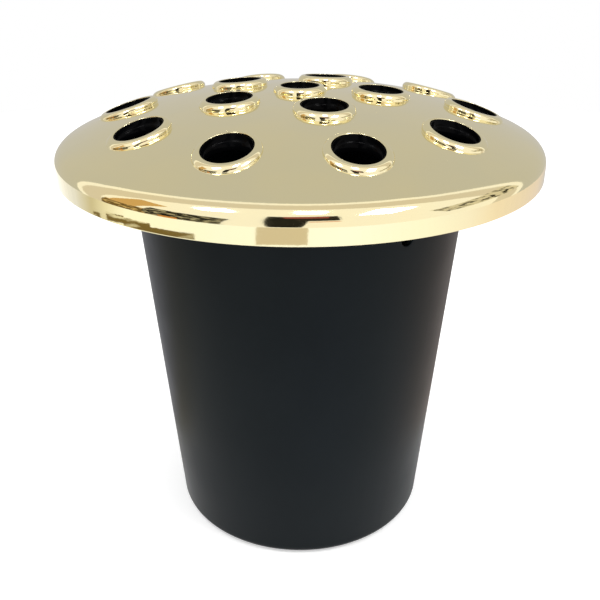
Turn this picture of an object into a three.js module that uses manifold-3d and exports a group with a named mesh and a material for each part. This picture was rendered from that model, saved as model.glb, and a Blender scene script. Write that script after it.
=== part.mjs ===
// A flower holder: a tapered vase liner under a domed cap that keeps cut stems apart.
// Millimetres, +Z up. The origin is the centre of the liner's base, and the front faces -Y.
// Three pieces: the liner, a moulded inner cap that sits on its brim, and a thin metal cover
// that is pressed over the inner cap and goes wherever it goes.

import * as THREE from 'three';
import { mergeVertices } from 'three/addons/utils/BufferGeometryUtils.js';
import Module from 'manifold-3d';

const wasm = await Module();
wasm.setup();

// Liner
const BRIM_LEVEL = 135.35; // underside of the brim, level with the cover's lower edge
const BASE_RADIUS = 47.9;
const NECK_RADIUS = 58.4; // outside of the wall where it meets the brim
const WALL = 1.8;
const BASE_ROUND = 3;
const FOOT_WIDTH = 2.9; // flat ring that the liner stands on
const FOOT_HEIGHT = 1; // how far the middle of the base is lifted off the table
const BRIM_RADIUS = 79;
const BRIM_TOP = BRIM_LEVEL + 1.8;
const RING_RADIUS = 76; // raised ring on the brim that centres the cap
const RING_WIDTH = 1.6;
const RING_HEIGHT = 2.5;
const OVERFLOW_RADIUS = 2.25;
const OVERFLOW_DROP = 11.3; // centre of the overflow hole below the brim
const OVERFLOW_ANGLE = 34.5; // degrees from the front towards +X

// Cap
const CAP_RADIUS = 82.5;
const LIP_HEIGHT = 5;
const SHOULDER_RADIUS = 77.5; // where the dome ends and the corner starts
const SHOULDER_HEIGHT = 10.65; // above the lip's lower edge
const CROWN_HEIGHT = 23.83; // above the lip's lower edge
const CROWN_SHARE = 0.635; // part of the dome's fall that is parabolic; the rest is steeper
const COVER_THICKNESS = 0.8;
const FIT_GAP = 0.3; // between the cover and the inner cap, and under the inner cap's skirt
const INNER_THICKNESS = 1.6;
const INNER_LIP_DROP = 0.4; // how far the inner cap shows below the cover's edge
const SKIRT_RADIUS = 74; // outside of the skirt that stands on the brim

// Collars round the stem holes, each measured from the centre of its own mouth. The holes run
// straight down, and the mouths slope with the dome.
const COLLAR_WIDTH = 2.5; // from the cover's hole edge to the outside of the collar
const COLLAR_ROUND = 2;
const COLLAR_DEPTH = 7; // the plug runs this far down, to be cut off by the hollow
const SLEEVE_WALL = 0.85; // inner cap's tube inside each collar
const SLEEVE_STEP = 0.2; // how far the tube stays below the collar's mouth
const SLEEVE_EDGE = 0.15; // thickness of the tube at its upper edge
const SLEEVE_TAPER = 1.8; // depth over which the tube thins out towards that edge
const PATTERN_ANGLE = 15.94; // degrees from the front to the first hole of each ring
const STEM_HOLES = [
  { count: 1, ring: 0, hole: 6.55, rise: 2.15, lean: 0 },
  { count: 5, ring: 27.27, hole: 7.53, rise: 2.07, lean: 5.6 },
  { count: 10, ring: 58.9, hole: 7.7, rise: 1.6, lean: 17.5 },
];

// Faceting
const ROUND_STEPS = 40;
const COLLAR_STEPS = 12;
const DOME_STEPS = 5;
const CORNER_STEPS = 2;

const point = (radius, height) => new THREE.Vector2(radius, height);
const radians = THREE.MathUtils.degToRad;

// Solids -------------------------------------------------------------------

// Turns a closed geometry into a solid that can be joined and cut.
function toSolid(geometry) {
  const bare = geometry.clone();
  bare.deleteAttribute('normal');
  bare.deleteAttribute('uv');
  const merged = mergeVertices(bare, 1e-4);
  const corners = merged.index.array;
  const triangles = [];
  for (let i = 0; i < corners.length; i += 3) {
    const [a, b, c] = corners.subarray(i, i + 3);
    if (a !== b && b !== c && c !== a) {
      triangles.push(a, b, c);
    }
  }
  return new wasm.Manifold(new wasm.Mesh({
    numProp: 3,
    vertProperties: Float32Array.from(merged.attributes.position.array),
    triVerts: Uint32Array.from(triangles),
  }));
}

function toGeometry(solid) {
  const mesh = solid.getMesh();
  const geometry = new THREE.BufferGeometry();
  geometry.setAttribute('position', new THREE.BufferAttribute(mesh.vertProperties, 3));
  geometry.setIndex(new THREE.BufferAttribute(mesh.triVerts, 1));
  geometry.computeVertexNormals();
  return geometry;
}

// Spins a half section round +Z. The section runs anticlockwise, with the radius to the right.
function revolve(section, steps, matrix = new THREE.Matrix4()) {
  const geometry = new THREE.LatheGeometry(section, steps);
  geometry.rotateX(Math.PI / 2);
  geometry.applyMatrix4(matrix);
  return toSolid(geometry);
}

// Cap ----------------------------------------------------------------------

// Height of the dome above the lip's lower edge, and its slope.
function domeHeight(radius) {
  const part = radius / SHOULDER_RADIUS;
  const fall = CROWN_SHARE * part ** 2 + (1 - CROWN_SHARE) * part ** 4;
  return CROWN_HEIGHT - (CROWN_HEIGHT - SHOULDER_HEIGHT) * fall;
}

function domeSlope(radius) {
  const part = radius / SHOULDER_RADIUS;
  const steepness = 2 * CROWN_SHARE * part + 4 * (1 - CROWN_SHARE) * part ** 3;
  return -(CROWN_HEIGHT - SHOULDER_HEIGHT) * steepness / SHOULDER_RADIUS;
}

// Moves a point of the cap's section inwards, square to the direction that the section runs in.
function insetPoint(place, direction, inset) {
  const outwards = point(-direction.y, direction.x).normalize();
  return place.clone().addScaledVector(outwards, -inset);
}

// The cap as a solid block from its skin down to a floor below the lip, made smaller by inset.
function capBlock(inset, floor) {
  const skin = [];
  for (let i = 0; i < DOME_STEPS; i++) {
    const radius = SHOULDER_RADIUS * i / DOME_STEPS;
    skin.push(insetPoint(point(radius, domeHeight(radius)), point(1, domeSlope(radius)), inset));
  }
  const reach = CAP_RADIUS - SHOULDER_RADIUS;
  const corner = new THREE.QuadraticBezierCurve(
    point(SHOULDER_RADIUS, SHOULDER_HEIGHT),
    point(CAP_RADIUS, SHOULDER_HEIGHT + reach * domeSlope(SHOULDER_RADIUS)),
    point(CAP_RADIUS, LIP_HEIGHT),
  );
  for (let i = 0; i <= CORNER_STEPS; i++) {
    const along = i / CORNER_STEPS;
    skin.push(insetPoint(corner.getPoint(along), corner.getTangent(along), inset));
  }
  skin.push(point(CAP_RADIUS - inset, floor), point(0, floor));
  const lift = new THREE.Matrix4().makeTranslation(0, 0, BRIM_LEVEL);
  return revolve(skin.reverse(), ROUND_STEPS, lift);
}

// Puts one solid of revolution at every stem hole, with its z = 0 in the collar's mouth. It is
// sheared to the mouth's slope, so that its sides stay upright.
function atStemHoles(makeSection) {
  const solids = [];
  for (const holes of STEM_HOLES) {
    const mouth = BRIM_LEVEL + domeHeight(holes.ring) + holes.rise;
    const section = makeSection(holes.hole);
    const slope = Math.tan(radians(holes.lean));
    for (let i = 0; i < holes.count; i++) {
      const turn = radians(PATTERN_ANGLE - 90 + 360 * i / holes.count);
      const matrix = new THREE.Matrix4().makeRotationZ(turn);
      matrix.multiply(new THREE.Matrix4().makeTranslation(holes.ring, 0, mouth));
      matrix.multiply(new THREE.Matrix4().makeShear(0, -slope, 0, 0, 0, 0));
      solids.push(revolve(section, COLLAR_STEPS, matrix));
    }
  }
  return wasm.Manifold.union(solids);
}

// A straight round plug from below the mouth up to a height.
function plugSection(radius, top) {
  return [point(0, -COLLAR_DEPTH), point(radius, -COLLAR_DEPTH), point(radius, top), point(0, top)];
}

// The tube's bore, which widens towards the mouth.
function boreSection(hole) {
  const bore = hole - FIT_GAP - SLEEVE_WALL;
  const lip = hole - FIT_GAP - SLEEVE_EDGE;
  return [
    point(0, -COLLAR_DEPTH),
    point(bore, -COLLAR_DEPTH),
    point(bore, -SLEEVE_STEP - SLEEVE_TAPER),
    point(lip, -SLEEVE_STEP),
    point(lip, 1),
    point(0, 1),
  ];
}

// A collar's outside, with its rounded upper edge, made smaller by inset.
function collarSection(hole, inset) {
  const side = hole + COLLAR_WIDTH - inset;
  const edge = new THREE.QuadraticBezierCurve(
    point(side, -COLLAR_ROUND - inset / 2),
    point(side, -inset),
    point(hole + COLLAR_WIDTH - COLLAR_ROUND, -inset),
  );
  return [point(0, -COLLAR_DEPTH), point(side, -COLLAR_DEPTH), ...edge.getPoints(2), point(0, -inset)];
}

function makeLidCover() {
  const outside = capBlock(0, 0).add(atStemHoles((hole) => collarSection(hole, 0)));
  const inside = capBlock(COVER_THICKNESS, -1)
    .add(atStemHoles((hole) => collarSection(hole, COVER_THICKNESS)));
  const holes = atStemHoles((hole) => plugSection(hole, 1));
  return outside.subtract(inside).subtract(holes);
}

// The skirt under the inner cap, cut off halfway through the inner cap's sheet.
function makeSkirt(sheetMiddle) {
  const low = BRIM_TOP + FIT_GAP;
  const high = BRIM_LEVEL + CROWN_HEIGHT;
  const inner = SKIRT_RADIUS - INNER_THICKNESS;
  const section = [
    point(inner, low),
    point(SKIRT_RADIUS, low),
    point(SKIRT_RADIUS, high),
    point(inner, high),
    point(inner, low),
  ];
  return revolve(section, ROUND_STEPS).intersect(capBlock(sheetMiddle, -1));
}

function makeFrogInsert() {
  const outerInset = COVER_THICKNESS + FIT_GAP;
  const innerInset = outerInset + INNER_THICKNESS;
  const sleeves = atStemHoles((hole) => plugSection(hole - FIT_GAP, -SLEEVE_STEP));
  const bores = atStemHoles(boreSection);
  return capBlock(outerInset, -INNER_LIP_DROP)
    .add(sleeves)
    .subtract(capBlock(innerInset, -1))
    .subtract(bores)
    .add(makeSkirt((outerInset + innerInset) / 2));
}

// Liner --------------------------------------------------------------------

function wallRadius(height) {
  return BASE_RADIUS + (NECK_RADIUS - BASE_RADIUS) * height / BRIM_LEVEL;
}

function linerSection() {
  const footEdge = BASE_RADIUS - BASE_ROUND;
  const floor = FOOT_HEIGHT + WALL;
  const floorEdge = wallRadius(floor) - WALL;
  const outerRound = new THREE.QuadraticBezierCurve(
    point(footEdge, 0),
    point(BASE_RADIUS, 0),
    point(wallRadius(BASE_ROUND), BASE_ROUND),
  );
  const mouthRound = new THREE.QuadraticBezierCurve(
    point(NECK_RADIUS + WALL, BRIM_TOP),
    point(NECK_RADIUS - WALL, BRIM_TOP),
    point(NECK_RADIUS - WALL, BRIM_TOP - 2 * WALL),
  );
  const innerRound = new THREE.QuadraticBezierCurve(
    point(wallRadius(floor + BASE_ROUND) - WALL, floor + BASE_ROUND),
    point(floorEdge, floor),
    point(floorEdge - BASE_ROUND, floor),
  );
  return [
    point(0, FOOT_HEIGHT),
    point(footEdge - FOOT_WIDTH - FOOT_HEIGHT, FOOT_HEIGHT),
    point(footEdge - FOOT_WIDTH, 0),
    ...outerRound.getPoints(3),
    point(NECK_RADIUS, BRIM_LEVEL),
    point(BRIM_RADIUS, BRIM_LEVEL),
    point(BRIM_RADIUS, BRIM_TOP),
    point(RING_RADIUS, BRIM_TOP),
    point(RING_RADIUS, BRIM_TOP + RING_HEIGHT),
    point(RING_RADIUS - RING_WIDTH, BRIM_TOP + RING_HEIGHT),
    point(RING_RADIUS - RING_WIDTH, BRIM_TOP),
    ...mouthRound.getPoints(2),
    ...innerRound.getPoints(2),
    point(0, floor),
  ];
}

// The overflow hole's drill, lying across the wall.
function makeOverflowDrill() {
  const height = BRIM_LEVEL - OVERFLOW_DROP;
  const drill = new THREE.CylinderGeometry(OVERFLOW_RADIUS, OVERFLOW_RADIUS, 5 * WALL, COLLAR_STEPS);
  drill.translate(0, -wallRadius(height), 0);
  drill.rotateZ(radians(OVERFLOW_ANGLE));
  drill.translate(0, 0, height);
  return toSolid(drill);
}

function makeLiner() {
  return revolve(linerSection(), ROUND_STEPS).subtract(makeOverflowDrill());
}

// Assembly -----------------------------------------------------------------

function piece(name, solid, look) {
  const mesh = new THREE.Mesh(toGeometry(solid), new THREE.MeshStandardMaterial(look));
  mesh.name = name;
  return mesh;
}

const goldMetal = { color: 0xd9cf9f, roughness: 0.08, metalness: 1 };
const glossBlack = { color: 0x07080a, roughness: 0.2, metalness: 0 };
const satinBlack = { color: 0x16181b, roughness: 0.4, metalness: 0 };

const flowerHolder = new THREE.Group();
flowerHolder.add(
  piece('pot', makeLiner(), satinBlack),
  piece('frog_insert', makeFrogInsert(), glossBlack),
  piece('lid_cover', makeLidCover(), goldMetal),
);

export default flowerHolder;
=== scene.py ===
import math

import bpy
from mathutils import Matrix, Vector
from mathutils.geometry import delaunay_2d_cdt


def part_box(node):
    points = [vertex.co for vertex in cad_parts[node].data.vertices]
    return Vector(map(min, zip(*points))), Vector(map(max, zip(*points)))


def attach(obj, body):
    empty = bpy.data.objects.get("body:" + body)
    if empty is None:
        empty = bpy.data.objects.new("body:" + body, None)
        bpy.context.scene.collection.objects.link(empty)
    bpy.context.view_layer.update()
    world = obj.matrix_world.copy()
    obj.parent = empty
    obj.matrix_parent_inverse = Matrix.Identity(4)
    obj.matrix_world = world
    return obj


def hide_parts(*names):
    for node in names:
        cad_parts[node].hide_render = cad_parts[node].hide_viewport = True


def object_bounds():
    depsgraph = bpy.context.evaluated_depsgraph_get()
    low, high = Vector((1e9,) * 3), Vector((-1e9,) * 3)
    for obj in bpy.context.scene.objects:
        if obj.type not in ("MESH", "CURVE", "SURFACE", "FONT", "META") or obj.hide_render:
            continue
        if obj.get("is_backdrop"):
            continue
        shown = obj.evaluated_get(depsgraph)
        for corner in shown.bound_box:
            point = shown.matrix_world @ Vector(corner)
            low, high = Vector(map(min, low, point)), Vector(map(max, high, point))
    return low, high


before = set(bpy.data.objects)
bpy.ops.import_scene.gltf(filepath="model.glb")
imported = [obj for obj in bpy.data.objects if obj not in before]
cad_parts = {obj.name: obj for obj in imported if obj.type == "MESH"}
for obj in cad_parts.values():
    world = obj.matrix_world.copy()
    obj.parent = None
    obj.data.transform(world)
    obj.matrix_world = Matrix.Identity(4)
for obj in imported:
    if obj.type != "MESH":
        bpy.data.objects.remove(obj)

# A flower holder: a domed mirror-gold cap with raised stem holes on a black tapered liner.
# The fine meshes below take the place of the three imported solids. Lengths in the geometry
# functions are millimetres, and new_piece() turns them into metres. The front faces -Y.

cad_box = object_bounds()
METRE = 1000

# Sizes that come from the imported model
cover_low, cover_high = [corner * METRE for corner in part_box("lid_cover")]
insert_low, insert_high = [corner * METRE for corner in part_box("frog_insert")]
pot_low, pot_high = [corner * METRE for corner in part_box("pot")]
CAP_RADIUS = cover_high.x
LIP_LEVEL = cover_low.z
INSERT_RADIUS = insert_high.x
BRIM_RADIUS = pot_high.x

# Dome of the cap, with heights above the lip's lower edge
SHOULDER_RADIUS = 77.5
SHOULDER_HEIGHT = 10.65
CENTRE_RISE = 2.15
CROWN_HEIGHT = cover_high.z - LIP_LEVEL - CENTRE_RISE
CROWN_SHARE = 0.635
LIP_HEIGHT = 5
COVER_THICKNESS = 0.8
INSERT_THICKNESS = 1.6
INSERT_INSET = CAP_RADIUS - INSERT_RADIUS
SKIRT_RADIUS = 74
SKIRT_ROUND = 0.4
COVER_EDGE_ROUND = 0.35
INSERT_EDGE_ROUND = 0.5

# Stem holes: how many, ring radius, hole radius in the cover, rise of the mouth, lean in degrees
STEM_HOLES = [
    (1, 0, 6.55, CENTRE_RISE, 0),
    (5, 27.27, 7.53, 2.07, 5.6),
    (10, 58.9, 7.7, 1.6, 17.5),
]
PATTERN_ANGLE = 15.94
COLLAR_WIDTH = 2.5
COLLAR_FLAT = 0.576
# Curves of the collar's bead, from the flat outwards: tilts in degrees and radius
BEAD_CURVES = [(0, 36, 1.75), (36, 47, 3.6), (47, 90, 0.85)]
BEAD_HEIGHT = 1.75
FOOT_ROUND = 0.15
FOOT_SHARE = 0.08
MOUTH_ROUND = 0.1
SLEEVE_GAP = 0.3
SLEEVE_WALL = 0.85
SLEEVE_STEP = 0.2
SLEEVE_EDGE = 0.15
SLEEVE_TAPER = 1.8

# Liner
BASE_RADIUS = 47.9
NECK_RADIUS = 58.4
WALL = 1.8
BASE_ROUND = 3
FOOT_WIDTH = 2.9
FOOT_HEIGHT = 1
BRIM_LEVEL = LIP_LEVEL
BRIM_TOP = BRIM_LEVEL + WALL
RING_RADIUS = 76
RING_WIDTH = 1.6
RING_TOP = pot_high.z
OVERFLOW_RADIUS = 2.25
OVERFLOW_LEVEL = BRIM_LEVEL - 11.3
OVERFLOW_ANGLE = 34.5
OVERFLOW_EDGE = 0.3

# Mesh density
RIM_STEPS = 240
CORNER_STEPS = 14
HOLE_STEPS = 64
SHEET_SPACING = 2
OVERFLOW_STEPS = 40
PATCH_COLUMNS = 4
PATCH_REACH = 6
PATCH_HOLE = 4.4
BASE_FAN = 20

# Studio, in metres and degrees. Azimuths run from the front towards +X.
CAP_PLACE = Vector((0, 0, LIP_LEVEL / METRE))
CAMERA_DISTANCE = 0.26784
CAMERA_RISE = 0.07387
CAMERA_TILT = 25.57
CAMERA_LENS = 46.75
FLOOR_RADIUS = 0.8
FLOOR_DROP = 0.0002
FLOOR_GLOW = 0.38
FILL_PLACE = (0, -0.3, 1.6)
FILL_SIZE = 2.4
FILL_POWER = 8
BACKDROP = (0.583, 0.568, 0.55)
ROOM_RADIUS = 2.5
ROOM_EDGE = 105
ROOM_SWELL = 12
# Bands of the room in front, as shares of the way from the middle of the front to its edge
ROOM_BANDS = [
    (0, 0.83, (1.06, 1.02, 0.99)),
    (0.83, 0.955, (0.74, 0.67, 0.6)),
    (0.955, 1, (1.05, 1.02, 1)),
]
LAMP_HEIGHT = 0.78
LAMP_GLOW = 40
LAMPS = [(-0.33, -0.2, 0.16, 0.12), (0.04, -0.21, 0.11, 0.12), (0.37, -0.29, 0.19, 0.26)]
CARD_DISTANCE = 1.5
CARD_STEP = 0.02
DARK = (0.018, 0.017, 0.014)
# Cards, each a step nearer than the last: azimuth, elevation, width and height, colour, and the
# colour that it is broken up with
CARDS = [
    ("camera_stand", -6.5, 24, 17, 64, DARK),
    ("stand_arm", 9, 45, 17, 24, (0.03, 0.024, 0.02)),
    ("red_cloth", 4, 52, 16, 8, (0.33, 0.09, 0.08)),
    ("orange_trim", 11, 27, 13, 4, (0.75, 0.33, 0.18)),
    ("brown_chest", -79, 2, 26, 26, (0.17, 0.11, 0.04), (0.6, 0.42, 0.2)),
    ("amber_door", -82, 27, 16, 34, (0.66, 0.41, 0.17)),
    ("orange_box", -56, -7, 9, 10, (0.65, 0.27, 0.07)),
    ("left_shelves", -50.5, 9, 36, 38, DARK, (0.42, 0.38, 0.28)),
    ("right_shelves", 87, 22, 46, 21, (0.75, 0.68, 0.55), (0.05, 0.045, 0.03)),
]
# Patches on the floor: azimuths, distances, colour, and the colour that it is broken up with
OLIVE = (0.2, 0.14, 0.05)
CREAM = (0.9, 0.85, 0.68)
FLOOR_PATCHES = [
    ("stand_shade", -17, 3, 0.3, 0.79, (0.71, 0.62, 0.5)),
    ("mat_1", -97, -92, 0.33, 0.38, OLIVE, CREAM),
    ("mat_2", -88, -77, 0.34, 0.42, OLIVE, CREAM),
    ("mat_3", -77, -62, 0.31, 0.4, OLIVE, CREAM),
    ("mat_4", -64, -42, 0.29, 0.36, OLIVE, CREAM),
]
# Tints of the floor as the mirrors see it: from one azimuth and colour to the next
FLOOR_NEAR = 0.08
FLOOR_FAR = 0.79
FADE_STEPS = 8
TINT_HEIGHT = 0.0005
PATCH_HEIGHT = 0.001
FLOOR_TINTS = [
    (-208, BACKDROP),
    (-150, (1.3, 1.3, 1.36)),
    (-112, (0.84, 0.84, 0.9)),
    (-98, (0.66, 0.6, 0.44)),
    (-88, (0.9, 0.85, 0.7)),
    (-76, (1.12, 1.12, 1.08)),
    (-20, (1.15, 1.17, 1.18)),
    (20, (1.15, 1.18, 1.28)),
    (52, (1.1, 1.12, 1.1)),
    (72, (1.05, 1, 0.98)),
    (90, (0.97, 0.86, 0.77)),
    (128, (0.84, 0.73, 0.68)),
    (152, BACKDROP),
]


# Mesh helpers -------------------------------------------------------------

class Builder:
    """Collects points and faces. Rings of points run anticlockwise round their own axis."""

    def __init__(self):
        self.points = []
        self.faces = []

    def add(self, points):
        first = len(self.points)
        self.points.extend(points)
        return list(range(first, len(self.points)))

    def bridge(self, rings, skip=()):
        """Joins each ring to the next. The faces point to the left of the way that the rings go."""
        for ring, following in zip(rings, rings[1:]):
            for i, corner in enumerate(ring):
                j = (i + 1) % len(ring)
                if i not in skip:
                    self.faces.append((corner, following[i], following[j], ring[j]))

    def fan(self, ring, height, upwards):
        centre, = self.add([Vector((0, 0, height))])
        for i, corner in enumerate(ring):
            j = (i + 1) % len(ring)
            self.faces.append((centre, corner, ring[j]) if upwards else (centre, ring[j], corner))

    def fill(self, outer, holes, inner, flat, flipped):
        """Triangulates between an outer loop and its holes. flat(corner) is a place in a plane."""
        corners = list(outer)
        links = [(i, (i + 1) % len(outer)) for i in range(len(outer))]
        owner = {}
        for number, hole in enumerate(holes):
            first = len(corners)
            links += [(first + i, first + (i + 1) % len(hole)) for i in range(len(hole))]
            owner.update((first + i, number) for i in range(len(hole)))
            corners += hole
        corners += inner
        places = [flat(corner) for corner in corners]
        _, _, faces, origins, _, _ = delaunay_2d_cdt(places, links, [], 0, 1e-6)
        for face in faces:
            sources = [origins[corner][0] for corner in face]
            owners = {owner.get(source) for source in sources}
            if len(owners) == 1 and None not in owners:
                continue
            face_corners = [corners[source] for source in sources]
            self.faces.append(tuple(reversed(face_corners) if flipped else face_corners))


def arc(centre, radii, start, end, steps):
    """Points of an elliptical arc in the (radius, height) plane, with angles in degrees."""
    points = []
    for i in range(steps + 1):
        angle = math.radians(start + (end - start) * i / steps)
        points.append((centre[0] + radii[0] * math.cos(angle), centre[1] + radii[1] * math.sin(angle)))
    return points


def circle(radius, height, steps):
    ring = []
    for i in range(steps):
        angle = 2 * math.pi * i / steps
        ring.append(Vector((radius * math.cos(angle), radius * math.sin(angle), height)))
    return ring


def lathe(builder, profile, steps, skip=()):
    """Spins a profile of (radius, height) points. skip maps a stretch of it to columns left open."""
    rings = [builder.add(circle(radius, height, steps)) for radius, height in profile]
    for i, pair in enumerate(zip(rings, rings[1:])):
        builder.bridge(pair, dict(skip).get(i, ()))
    return rings


def new_piece(name, builder, node, body, material):
    """Makes the mesh object, in metres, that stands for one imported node."""
    mesh = bpy.data.meshes.new(name)
    mesh.from_pydata([place / METRE for place in builder.points], [], builder.faces)
    mesh.validate()
    mesh.polygons.foreach_set("use_smooth", [True] * len(mesh.polygons))
    mesh.materials.append(material)
    piece = bpy.data.objects.new(name, mesh)
    bpy.context.scene.collection.objects.link(piece)
    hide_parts(node)
    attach(piece, body)
    return piece


# Cap ----------------------------------------------------------------------

def dome_height(radius):
    part = radius / SHOULDER_RADIUS
    fall = CROWN_SHARE * part ** 2 + (1 - CROWN_SHARE) * part ** 4
    return CROWN_HEIGHT - (CROWN_HEIGHT - SHOULDER_HEIGHT) * fall


def dome_slope(radius):
    part = radius / SHOULDER_RADIUS
    steepness = 2 * CROWN_SHARE * part + 4 * (1 - CROWN_SHARE) * part ** 3
    return -(CROWN_HEIGHT - SHOULDER_HEIGHT) * steepness / SHOULDER_RADIUS


def sheet_height(radius, inset):
    """Height of the skin that lies inset below the dome, at a distance from the axis."""
    source = radius
    for _ in range(6):
        slope = dome_slope(source)
        source = radius - inset * slope / math.hypot(1, slope)
    return LIP_LEVEL + dome_height(source) - inset / math.hypot(1, dome_slope(source))


def rim_corner(inset):
    """The cap's rounded corner from the dome's edge to the top of the lip, moved inwards by inset."""
    slope = dome_slope(SHOULDER_RADIUS)
    reach = CAP_RADIUS - SHOULDER_RADIUS
    start = Vector((SHOULDER_RADIUS, LIP_LEVEL + SHOULDER_HEIGHT))
    control = start + reach * Vector((1, slope))
    end = Vector((CAP_RADIUS, LIP_LEVEL + LIP_HEIGHT))
    points = []
    for i in range(CORNER_STEPS + 1):
        t = i / CORNER_STEPS
        place = (1 - t) ** 2 * start + 2 * t * (1 - t) * control + t ** 2 * end
        along = (1 - t) * (control - start) + t * (end - control)
        outwards = Vector((-along.y, along.x)).normalized()
        points.append(tuple(place - inset * outwards))
    return points


def rim_profile(outer_inset, inner_inset, bottom, edge_round):
    """Down the outside of the rim, round its lower edge and up the inside to the inner sheet."""
    outer = CAP_RADIUS - outer_inset
    inner = CAP_RADIUS - inner_inset
    radii = (edge_round, edge_round)
    level = bottom + edge_round
    return [
        *rim_corner(outer_inset),
        *arc((outer - edge_round, level), radii, 0, -90, 4),
        *arc((inner + edge_round, level), radii, -90, -180, 4),
        *reversed(rim_corner(inner_inset)),
    ]


def hole_frames():
    """One matrix per stem hole, from its own frame (z = 0 in the mouth, x outwards) to the part's.

    The bores are upright and the mouths slope with the dome, so the frame is sheared."""
    frames = []
    for count, ring, hole, rise, lean in STEM_HOLES:
        mouth = LIP_LEVEL + dome_height(ring) + rise
        for i in range(count):
            turn = math.radians(PATTERN_ANGLE - 90 + 360 * i / count)
            matrix = Matrix.Rotation(turn, 4, "Z")
            matrix = matrix @ Matrix.Translation((ring, 0, mouth))
            slope = Matrix.Identity(4)
            slope[2][0] = -math.tan(math.radians(lean))
            frames.append((matrix @ slope, hole))
    return frames


def hole_ring(matrix, radius, inset, level):
    """A ring of points round a hole. level(drop) gives a point's height in the hole's frame, where
    drop is how far the sheet at that inset lies below the mouth."""
    ring = []
    for i in range(HOLE_STEPS):
        angle = 2 * math.pi * i / HOLE_STEPS
        x = radius * math.cos(angle)
        y = radius * math.sin(angle)
        drop = 0
        for _ in range(6):
            place = matrix @ Vector((x, y, -drop))
            drop += place.z - sheet_height(place.xy.length, inset)
        ring.append(matrix @ Vector((x, y, level(drop))))
    return ring


def at_depth(depth):
    return lambda drop: -depth


def at_share(share):
    """A share of the way up from the sheet to the mouth."""
    return lambda drop: -drop * (1 - share)


def fill_sheet(builder, edge, hole_rings, inset, upwards):
    """Fills a dome sheet between its round edge and its holes with evenly spread points."""
    zones = []
    for ring in hole_rings:
        places = [builder.points[corner].xy for corner in ring]
        middle = sum(places, Vector((0, 0))) / len(places)
        zones.append((middle, max((place - middle).length for place in places)))
    inner = []
    edge_radius = builder.points[edge[0]].xy.length
    for k in range(1, int(edge_radius / SHEET_SPACING)):
        for place in circle(k * SHEET_SPACING, 0, 6 * k):
            clear = all((place.xy - middle).length > reach + SHEET_SPACING / 2 for middle, reach in zones)
            if clear:
                inner.append(Vector((place.x, place.y, sheet_height(place.xy.length, inset))))
    inner = builder.add(inner)
    builder.fill(edge, hole_rings, inner, lambda corner: builder.points[corner].xy, not upwards)


def cap_shell(outer_inset, inner_inset, rim, hole_profile):
    """A domed shell with a rim and a shaped hole at every stem place.

    hole_profile(hole) lists (radius, inset, level) from the inner sheet to the outer one."""
    builder = Builder()
    rim_rings = lathe(builder, rim, RIM_STEPS)
    outer_rings = []
    inner_rings = []
    for matrix, hole in hole_frames():
        rings = []
        for radius, inset, level in hole_profile(hole):
            rings.append(builder.add(hole_ring(matrix, radius, inset, level)))
        builder.bridge(rings)
        inner_rings.append(rings[0])
        outer_rings.append(rings[-1])
    fill_sheet(builder, rim_rings[0], outer_rings, outer_inset, True)
    fill_sheet(builder, rim_rings[-1], inner_rings, inner_inset, False)
    return builder


def bead_outline(hole):
    """Radius and fall of the bead from the collar's flat. Its middle is nearly a straight slope."""
    outline = [(hole + COLLAR_FLAT, 0)]
    for start, end, curve in BEAD_CURVES:
        radius, fall = outline[-1]
        tilt = math.radians(start)
        centre = (radius - curve * math.sin(tilt), fall + curve * math.cos(tilt))
        outline += arc(centre, (curve, -curve), 90 - start, 90 - end, 5)[1:]
    return outline


def collar_profile(hole):
    """The cover's raised collar: up inside, over the mouth's edge, round the bead, down to the dome."""
    side = hole + COLLAR_WIDTH
    cavity = side - COVER_THICKNESS
    profile = [
        (cavity, COVER_THICKNESS, at_share(0)),
        (cavity, 0, at_depth(COVER_THICKNESS + 0.1)),
        (cavity - 0.1, 0, at_depth(COVER_THICKNESS)),
        (hole, 0, at_depth(COVER_THICKNESS)),
    ]
    for radius, height in arc((hole + MOUTH_ROUND, -MOUTH_ROUND), (MOUTH_ROUND, MOUTH_ROUND), 180, 90, 5):
        profile.append((radius, 0, at_depth(-height)))
    for radius, fall in bead_outline(hole):
        profile.append((radius, 0, at_share(1 - fall / BEAD_HEIGHT)))
    for radius, share in arc((side, FOOT_SHARE), (FOOT_ROUND, FOOT_SHARE), 180, 270, 4):
        profile.append((radius, 0, at_share(share)))
    return profile


def sleeve_profile(hole):
    """The insert's tube: up the bore, which widens towards a thin edge, and down the outside."""
    outside = hole - SLEEVE_GAP
    bore = outside - SLEEVE_WALL
    round_edge = SLEEVE_EDGE / 2
    level = SLEEVE_STEP + round_edge
    inner_inset = INSERT_INSET + INSERT_THICKNESS
    profile = [(bore + 0.3, inner_inset, at_share(0)), (bore + 0.09, inner_inset, at_share(0.02)),
               (bore, inner_inset, at_share(0.07))]
    widening = SLEEVE_WALL - SLEEVE_EDGE
    for radius, depth in arc((bore, level), (widening, SLEEVE_TAPER), 90, 0, 6):
        profile.append((radius, 0, at_depth(depth)))
    for radius, height in arc((outside - round_edge, -level), (round_edge, round_edge), 150, 0, 5):
        profile.append((radius, 0, at_depth(-height)))
    profile.append((outside, INSERT_INSET, at_share(0)))
    return profile


def make_cover(material):
    rim = rim_profile(0, COVER_THICKNESS, LIP_LEVEL, COVER_EDGE_ROUND)
    shell = cap_shell(0, COVER_THICKNESS, rim, collar_profile)
    return new_piece("gold_cover_shell", shell, "lid_cover", "lid", material)


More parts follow.
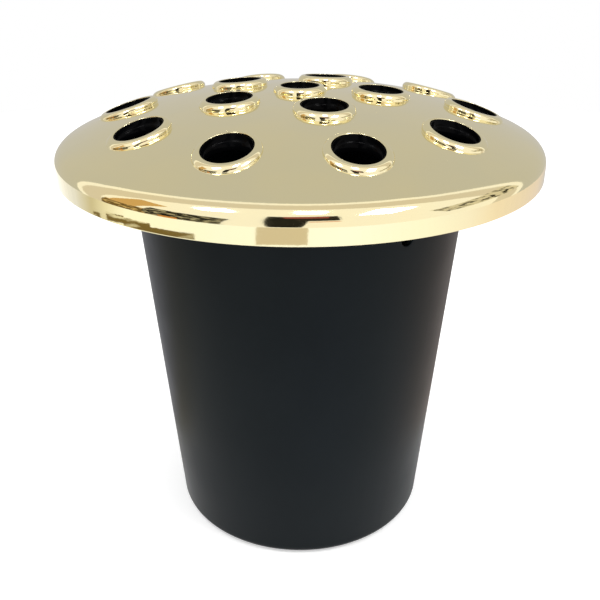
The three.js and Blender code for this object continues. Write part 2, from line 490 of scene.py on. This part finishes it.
def make_insert(material):
    inner_inset = INSERT_INSET + INSERT_THICKNESS
    rim = rim_profile(INSERT_INSET, inner_inset, insert_low.z, INSERT_EDGE_ROUND)
    shell = cap_shell(INSERT_INSET, inner_inset, rim, sleeve_profile)
    low = BRIM_TOP + SLEEVE_GAP
    high = sheet_height(SKIRT_RADIUS, (INSERT_INSET + inner_inset) / 2)
    inside = SKIRT_RADIUS - INSERT_THICKNESS
    soft = (SKIRT_ROUND, SKIRT_ROUND)
    skirt = [
        (inside, high),
        *arc((SKIRT_RADIUS - SKIRT_ROUND, high - SKIRT_ROUND), soft, 90, 0, 3),
        *arc((SKIRT_RADIUS - SKIRT_ROUND, low + SKIRT_ROUND), soft, 0, -90, 3),
        *arc((inside + SKIRT_ROUND, low + SKIRT_ROUND), soft, -90, -180, 3),
        (inside, high),
    ]
    lathe(shell, skirt, RIM_STEPS)
    return new_piece("black_cap_insert", shell, "frog_insert", "lid", material)


# Liner --------------------------------------------------------------------

def wall_radius(height):
    return BASE_RADIUS + (NECK_RADIUS - BASE_RADIUS) * height / BRIM_LEVEL


def floor_profile():
    """From near the middle of the floor up the inside of the wall."""
    floor = FOOT_HEIGHT + WALL
    floor_round = 4
    wall = wall_radius(floor + floor_round) - WALL
    low = OVERFLOW_LEVEL - PATCH_REACH
    return [
        (BASE_FAN, floor),
        *arc((wall - floor_round, floor + floor_round), (floor_round, floor_round), 270, 360, 8),
        (wall_radius(low) - WALL, low),
    ]


def brim_profile():
    """From the inside of the wall over the mouth, the centring ring and the brim to the outside."""
    high = OVERFLOW_LEVEL + PATCH_REACH
    mouth = NECK_RADIUS - WALL
    mouth_round = 1.6
    ring_inside = RING_RADIUS - RING_WIDTH
    small = 0.4
    edge = 0.6
    neck_round = 2
    neck = wall_radius(BRIM_LEVEL - neck_round)
    return [
        (wall_radius(high) - WALL, high),
        *arc((mouth + mouth_round, BRIM_TOP - mouth_round), (mouth_round, mouth_round), 180, 90, 6),
        *arc((ring_inside - small, BRIM_TOP + small), (small, small), 270, 360, 3),
        *arc((ring_inside + small, RING_TOP - small), (small, small), 180, 90, 3),
        *arc((RING_RADIUS - small, RING_TOP - small), (small, small), 90, 0, 3),
        *arc((RING_RADIUS + small, BRIM_TOP + small), (small, small), 180, 270, 3),
        *arc((BRIM_RADIUS - edge, BRIM_TOP - edge), (edge, edge), 90, 0, 4),
        *arc((BRIM_RADIUS - edge, BRIM_LEVEL + edge), (edge, edge), 0, -90, 4),
        *arc((neck + neck_round, BRIM_LEVEL - neck_round), (neck_round, neck_round), 90, 180, 6),
        (wall_radius(high), high),
    ]


def foot_profile():
    """Down the outside of the wall, round the foot ring and into the lifted middle of the base."""
    low = OVERFLOW_LEVEL - PATCH_REACH
    slant = wall_radius(BASE_ROUND)
    foot_inside = slant - BASE_ROUND - FOOT_WIDTH
    return [
        (wall_radius(low), low),
        *arc((slant - BASE_ROUND, BASE_ROUND), (BASE_ROUND, BASE_ROUND), 0, -90, 10),
        (foot_inside, 0),
        (foot_inside - FOOT_HEIGHT, FOOT_HEIGHT),
        (BASE_FAN, FOOT_HEIGHT),
    ]


def overflow_ring(turn, reach, depth):
    """A ring of points round an overflow hole, on the wall or the given depth inside it."""
    ring = []
    for i in range(OVERFLOW_STEPS):
        angle = 2 * math.pi * i / OVERFLOW_STEPS
        height = OVERFLOW_LEVEL + reach * math.sin(angle)
        radius = wall_radius(height) - depth
        sideways = math.asin(reach * math.cos(angle) / radius)
        place = Vector((radius * math.cos(turn + sideways), radius * math.sin(turn + sideways), height))
        ring.append(place)
    return ring


def drill_overflow(builder, column, turn, inner_band, outer_band):
    """Fills one gap in the inner and outer walls round a hole with softened edges."""
    near = OVERFLOW_RADIUS + OVERFLOW_EDGE
    soft = (OVERFLOW_EDGE, OVERFLOW_EDGE)
    soft_reach = 0.75
    profile = [
        (PATCH_HOLE, WALL),
        (near + soft_reach, WALL),
        *arc((near, WALL - OVERFLOW_EDGE), soft, 90, 180, 3),
        *arc((near, OVERFLOW_EDGE), soft, 180, 270, 3),
        (near + soft_reach, 0),
        (PATCH_HOLE, 0),
    ]
    rings = [builder.add(overflow_ring(turn, reach, depth)) for reach, depth in profile]
    builder.bridge(rings)
    tangent = Vector((-math.sin(turn), math.cos(turn), 0))

    def flat(corner):
        place = builder.points[corner]
        return Vector((place.dot(tangent), place.z))

    columns = [(column + i) % RIM_STEPS for i in range(-PATCH_COLUMNS, PATCH_COLUMNS + 1)]
    sides = [(outer_band, rings[-1], False), (inner_band, rings[0], True)]
    for (low_ring, high_ring), hole, flipped in sides:
        loop = [low_ring[i] for i in columns] + [high_ring[i] for i in reversed(columns)]
        builder.fill(loop, [hole], [], flat, flipped)


def make_liner(material):
    builder = Builder()
    floor_rings = lathe(builder, floor_profile(), RIM_STEPS)
    brim_rings = lathe(builder, brim_profile(), RIM_STEPS)
    foot_rings = lathe(builder, foot_profile(), RIM_STEPS)
    inner_band = (floor_rings[-1], brim_rings[0])
    outer_band = (foot_rings[0], brim_rings[-1])
    column = round((OVERFLOW_ANGLE - 90) / 360 * RIM_STEPS) % RIM_STEPS
    drill_overflow(builder, column, 2 * math.pi * column / RIM_STEPS, inner_band, outer_band)
    open_columns = [(column + i) % RIM_STEPS for i in range(-PATCH_COLUMNS, PATCH_COLUMNS)]
    builder.bridge(inner_band, open_columns)
    builder.bridge(outer_band[::-1], open_columns)
    builder.fan(floor_rings[0], FOOT_HEIGHT + WALL, True)
    builder.fan(foot_rings[-1], FOOT_HEIGHT, False)
    return new_piece("black_liner", builder, "pot", "pot", material)


# Materials ----------------------------------------------------------------

def node_material(name, colour, metallic, specular):
    """A Principled material with its uniform values on the shader's own sockets."""
    material = bpy.data.materials.new(name)
    material.use_nodes = True
    shader = material.node_tree.nodes["Principled BSDF"]
    shader.inputs["Base Color"].default_value = (*colour, 1)
    shader.inputs["Metallic"].default_value = metallic
    shader.inputs["Specular IOR Level"].default_value = specular
    return material, shader


def noise(material, scale, detail, stretch=(1, 1, 1)):
    """Noise in the part's own space, with scale in waves per metre."""
    tree = material.node_tree
    place = tree.nodes.new("ShaderNodeTexCoord")
    mapping = tree.nodes.new("ShaderNodeMapping")
    mapping.inputs["Scale"].default_value = stretch
    texture = tree.nodes.new("ShaderNodeTexNoise")
    texture.inputs["Scale"].default_value = scale
    texture.inputs["Detail"].default_value = detail
    tree.links.new(place.outputs["Object"], mapping.inputs["Vector"])
    tree.links.new(mapping.outputs["Vector"], texture.inputs["Vector"])
    return texture.outputs["Fac"]


def spread(material, value, low, high, start=0.3, end=0.7):
    """Maps a stretch of a noise, its middle unless told otherwise, onto a range."""
    node = material.node_tree.nodes.new("ShaderNodeMapRange")
    node.inputs["From Min"].default_value = start
    node.inputs["From Max"].default_value = end
    node.inputs["To Min"].default_value = low
    node.inputs["To Max"].default_value = high
    material.node_tree.links.new(value, node.inputs["Value"])
    return node.outputs["Result"]


def tint(material, value, first, second, start=0.3, end=0.7):
    """Blends two colours over a noise."""
    node = material.node_tree.nodes.new("ShaderNodeMix")
    node.data_type = "RGBA"
    node.inputs["A"].default_value = (*first, 1)
    node.inputs["B"].default_value = (*second, 1)
    factor = spread(material, value, 0, 1, start, end)
    material.node_tree.links.new(factor, node.inputs["Factor"])
    return node.outputs["Result"]


def relief(material, shader, layers):
    """Chains bumps, each (height, depth in metres)."""
    links = material.node_tree.links
    normal = None
    for height, depth in layers:
        bump = material.node_tree.nodes.new("ShaderNodeBump")
        bump.inputs["Strength"].default_value = 1
        bump.inputs["Distance"].default_value = depth
        links.new(height, bump.inputs["Height"])
        if normal:
            links.new(normal, bump.inputs["Normal"])
        normal = bump.outputs["Normal"]
    links.new(normal, shader.inputs["Normal"])


def gold_mirror():
    """Plated gold: a slow ripple from the pressing, and a faint haze that varies over it."""
    material, shader = node_material("mirror_gold", (0.93, 0.85, 0.53), 1, 0.5)
    links = material.node_tree.links
    haze = noise(material, 45, 3)
    links.new(tint(material, haze, (0.95, 0.86, 0.53), (0.91, 0.84, 0.55)), shader.inputs["Base Color"])
    links.new(spread(material, haze, 0.035, 0.075), shader.inputs["Roughness"])
    ripple = noise(material, 60, 1)
    grain = noise(material, 900, 2)
    relief(material, shader, [(ripple, 0.00012), (grain, 0.000004)])
    return material


def gloss_black():
    material, shader = node_material("gloss_black_plastic", (0.0012, 0.0012, 0.0015), 0, 0.03)
    links = material.node_tree.links
    smear = noise(material, 120, 3)
    links.new(tint(material, smear, (0.0008, 0.0008, 0.001), (0.0018, 0.002, 0.0025)),
              shader.inputs["Base Color"])
    links.new(spread(material, smear, 0.12, 0.2), shader.inputs["Roughness"])
    relief(material, shader, [(noise(material, 350, 2), 0.00003)])
    return material


def satin_black():
    """Moulded plastic: fine grain, faint draw lines down the wall and slightly uneven gloss."""
    material, shader = node_material("satin_black_plastic", (0.0022, 0.005, 0.0066), 0, 0.1)
    links = material.node_tree.links
    cloud = noise(material, 28, 4)
    links.new(tint(material, cloud, (0.0015, 0.004, 0.0055), (0.003, 0.006, 0.0078)),
              shader.inputs["Base Color"])
    links.new(spread(material, cloud, 0.34, 0.44), shader.inputs["Roughness"])
    lines = noise(material, 260, 2, (1, 1, 0.03))
    grain = noise(material, 1800, 2)
    relief(material, shader, [(lines, 0.00002), (grain, 0.000012)])
    return material


# Studio -------------------------------------------------------------------

def aim(item, target):
    item.rotation_euler = (Vector(target) - item.location).to_track_quat("-Z", "Y").to_euler()


def area_light(name, place, target, width, height, power, seen_in_gloss):
    data = bpy.data.lights.new(name, "AREA")
    data.shape = "RECTANGLE"
    data.size = width
    data.size_y = height
    data.energy = power
    light = bpy.data.objects.new(name, data)
    light.location = place
    aim(light, target)
    light.visible_camera = False
    light.visible_glossy = seen_in_gloss
    bpy.context.scene.collection.objects.link(light)
    return light


def glow_material(name, colour, speckle=None):
    """Plain light from a card. With a second colour, the two are broken up like a crowded room."""
    material = bpy.data.materials.new(name)
    material.use_nodes = True
    tree = material.node_tree
    tree.nodes.clear()
    glow = tree.nodes.new("ShaderNodeEmission")
    glow.inputs["Color"].default_value = (*colour, 1)
    if speckle:
        blotches = noise(material, 9, 4, (1, 0.6, 1))
        tree.links.new(tint(material, blotches, colour, speckle, 0.5, 0.58), glow.inputs["Color"])
    output = tree.nodes.new("ShaderNodeOutputMaterial")
    tree.links.new(glow.outputs["Emission"], output.inputs["Surface"])
    return material


def mirror_only(name, points, faces, material):
    """Something of the studio that shows in reflections and nowhere else."""
    mesh = bpy.data.meshes.new(name)
    mesh.from_pydata(points, [], faces)
    mesh.materials.append(material)
    item = bpy.data.objects.new(name, mesh)
    bpy.context.scene.collection.objects.link(item)
    item.visible_camera = False
    item.visible_diffuse = False
    item.visible_shadow = False
    item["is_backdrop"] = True
    return item


def towards(azimuth, elevation, distance):
    """A place as seen from the cap. Azimuth runs from the front towards +X, in degrees."""
    turn = math.radians(azimuth)
    climb = math.radians(elevation)
    way = Vector((math.sin(turn) * math.cos(climb), -math.cos(turn) * math.cos(climb), math.sin(climb)))
    return CAP_PLACE + distance * way


def hang_card(distance, name, azimuth, elevation, width, height, colour, speckle=None):
    """A card facing the cap, with its width and height in degrees as seen from there."""
    x = distance * math.tan(math.radians(width / 2))
    y = distance * math.tan(math.radians(height / 2))
    corners = [(-x, -y, 0), (x, -y, 0), (x, y, 0), (-x, y, 0)]
    card = mirror_only(name, corners, [(0, 1, 2, 3)], glow_material(name, colour, speckle))
    card.location = towards(azimuth, elevation, distance)
    aim(card, CAP_PLACE)


def shade_floor(name, start, end, near, far, colour, speckle=None, height=PATCH_HEIGHT):
    """A patch on the floor between two azimuths and two distances."""
    steps = 12
    points = []
    for i in range(steps + 1):
        turn = math.radians(start + (end - start) * i / steps)
        for reach in (near, far):
            points.append((reach * math.sin(turn), -reach * math.cos(turn), height))
    faces = [(2 * i, 2 * i + 1, 2 * i + 3, 2 * i + 2) for i in range(steps)]
    mirror_only(name, points, faces, glow_material(name, colour, speckle))


def tint_floor():
    """The floor's tint all round, going from each stated colour to the next."""
    for (start, first), (end, last) in zip(FLOOR_TINTS, FLOOR_TINTS[1:]):
        width = (end - start) / FADE_STEPS
        for i in range(FADE_STEPS):
            colour = Vector(first).lerp(last, (i + 0.5) / FADE_STEPS)
            place = start + i * width
            reach = (FLOOR_NEAR, FLOOR_FAR)
            shade_floor("floor_tint", place, place + width, *reach, colour, height=TINT_HEIGHT)


def make_room_band(start, end, colour):
    """A band of the room in front, which ends a little behind the zenith, before the grey backdrop."""
    steps = 48
    points = []
    for i in range(steps):
        roll = 2 * math.pi * i / steps
        for k in range(steps + 1):
            share = start + (end - start) * k / steps
            polar = math.radians(ROOM_EDGE + ROOM_SWELL * math.sin(1.5 * roll) ** 2) * share
            sideways = math.sin(polar) * math.sin(roll)
            upwards = math.sin(polar) * math.cos(roll)
            way = Vector((sideways, -math.cos(polar), upwards))
            points.append(CAP_PLACE + ROOM_RADIUS * way)
    row = steps + 1
    faces = []
    for i in range(steps):
        j = (i + 1) % steps
        faces += [(i * row + k, i * row + k + 1, j * row + k + 1, j * row + k) for k in range(steps)]
    mirror_only("front_room", points, faces, glow_material("front_room", colour))


def make_floor():
    material, shader = node_material("pale_floor", (0.8, 0.8, 0.8), 0, 0.1)
    shader.inputs["Roughness"].default_value = 0.9
    shader.inputs["Emission Color"].default_value = (1, 1, 1, 1)
    shader.inputs["Emission Strength"].default_value = FLOOR_GLOW
    builder = Builder()
    rings = lathe(builder, [(FLOOR_RADIUS * METRE / 4, 0), (FLOOR_RADIUS * METRE, 0)], 96)
    builder.fan(rings[0], 0, True)
    mesh = bpy.data.meshes.new("floor")
    mesh.from_pydata([place / METRE for place in builder.points], [], builder.faces)
    mesh.materials.append(material)
    floor = bpy.data.objects.new("floor", mesh)
    floor.location.z = -FLOOR_DROP
    bpy.context.scene.collection.objects.link(floor)
    floor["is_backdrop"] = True


def make_world():
    """A white room all round, with a grey backdrop in place of it for the mirrors."""
    world = bpy.data.worlds.new("studio")
    world.use_nodes = True
    tree = world.node_tree
    background = tree.nodes["Background"]
    rays = tree.nodes.new("ShaderNodeLightPath")
    mix = tree.nodes.new("ShaderNodeMix")
    mix.data_type = "RGBA"
    mix.inputs["A"].default_value = (1, 1, 1, 1)
    mix.inputs["B"].default_value = (*BACKDROP, 1)
    tree.links.new(rays.outputs["Is Glossy Ray"], mix.inputs["Factor"])
    tree.links.new(mix.outputs["Result"], background.inputs["Color"])
    bpy.context.scene.world = world


def make_camera():
    data = bpy.data.cameras.new("camera")
    data.sensor_width = 36
    data.lens = CAMERA_LENS
    camera = bpy.data.objects.new("camera", data)
    camera.location = (0, -CAMERA_DISTANCE, LIP_LEVEL / METRE + CAMERA_RISE)
    camera.rotation_euler = (math.radians(90 - CAMERA_TILT), 0, 0)
    bpy.context.scene.collection.objects.link(camera)
    bpy.context.scene.camera = camera


def make_studio():
    make_floor()
    make_world()
    make_camera()
    for band in ROOM_BANDS:
        make_room_band(*band)
    area_light("fill", FILL_PLACE, CAP_PLACE, FILL_SIZE, FILL_SIZE, FILL_POWER, False)
    for x, y, width, depth in LAMPS:
        area_light("lamp", (x, y, LAMP_HEIGHT), (x, y, 0), width, depth, LAMP_GLOW * width * depth, True)
    for i, card in enumerate(CARDS):
        hang_card(CARD_DISTANCE - i * CARD_STEP, *card)
    for patch in FLOOR_PATCHES:
        shade_floor(*patch)
    tint_floor()


bpy.context.scene.view_settings.view_transform = "Standard"
make_studio()
make_cover(gold_mirror())
make_insert(gloss_black())
make_liner(satin_black())

boxes = {"cad": cad_box, "visual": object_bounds()}
{name: [list(corner) for corner in box] for name, box in boxes.items()}
